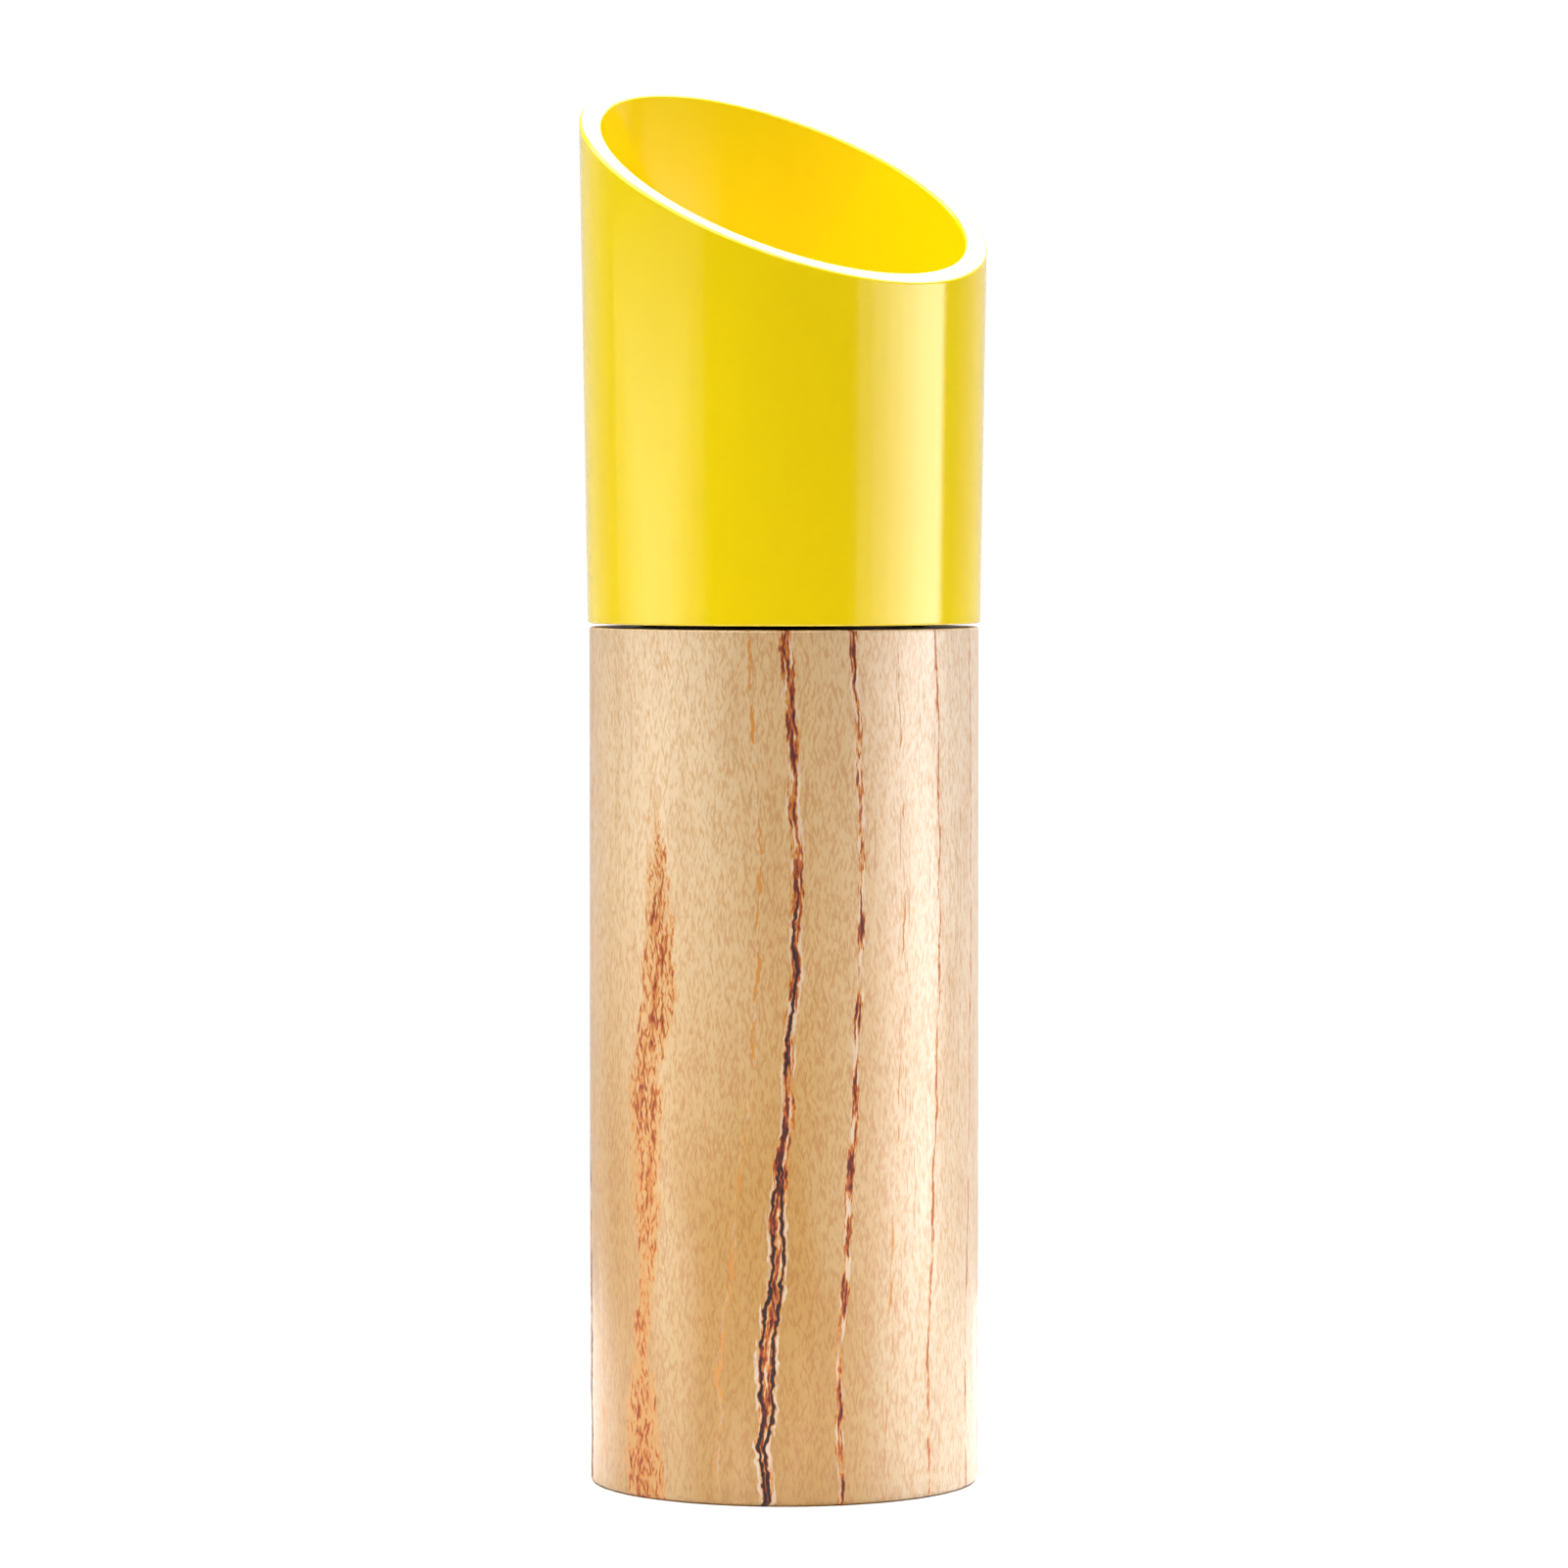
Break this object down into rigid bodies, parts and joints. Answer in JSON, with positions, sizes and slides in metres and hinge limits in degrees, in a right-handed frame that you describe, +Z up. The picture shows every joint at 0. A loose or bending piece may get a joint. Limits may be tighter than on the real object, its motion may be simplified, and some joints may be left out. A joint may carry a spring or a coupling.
{
  "type": "pepper mill",
  "caption": "Upside-down pepper mill: a turned wooden body holds the peppercorns and a slant-cut plastic collar turns on top to grind them through ceramic burrs.",
  "frame": {"origin": "centre of the underside of the wooden body, on the surface that the mill stands on", "axes": "+Z up along the mill's axis, +Y towards the highest point of the collar's slanted rim, +X to the right"},
  "size_m": [0.0522, 0.0522, 0.1806],
  "materials": {
    "ash_wood": "satin",
    "yellow_plastic": "gloss",
    "black_plastic": "satin",
    "burr_ceramic": "satin",
    "steel": "satin",
    "brass": "satin",
    "nylon": "satin",
    "seal_rubber": "matte"
  },
  "bodies": {
    "body": {"wood_body": "ash_wood", "mechanism_socket": "black_plastic"},
    "mechanism": {"burr_housing": "black_plastic", "lower_oring": "seal_rubber", "upper_oring": "seal_rubber", "outer_burr": "burr_ceramic", "burr_retainer": "black_plastic", "bearing_spider": "black_plastic", "bearing_bush": "brass"},
    "head": {"collar": "yellow_plastic", "glide_washer": "nylon", "drive_hub": "black_plastic", "hub_screw_1": "steel", "hub_screw_2": "steel", "hub_screw_3": "steel", "spindle": "steel", "spindle_washer": "steel", "spring_washer": "steel", "burr_spring": "steel"},
    "rotor": {"rotor_core": "nylon", "inner_burr": "burr_ceramic", "burr_clip": "steel"},
    "adjuster": {"adjuster_knob": "black_plastic", "knob_insert": "brass"}
  },
  "joints": [
    {"name": "head_pull", "type": "slide", "parent": "body", "child": "mechanism", "axis": [0, 0, 1], "range_m": [0, 0.06]},
    {"name": "collar_turn", "type": "hinge", "parent": "mechanism", "child": "head", "pos_m": [0, 0, 0.112], "axis": [0, 0, 1], "continuous": true},
    {"name": "burr_lift", "type": "slide", "parent": "head", "child": "rotor", "axis": [0, 0, 1], "range_m": [-0.0004, 0.0004], "deforming": ["burr_spring"]},
    {"name": "grind_adjust", "type": "hinge", "parent": "rotor", "child": "adjuster", "pos_m": [0, 0, 0.124], "axis": [0, 0, 1], "range_deg": [-180, 180]}
  ],
  "couplings": [
    {"joint": "grind_adjust", "follows": "burr_lift", "rad_per_m": 7854}
  ]
}
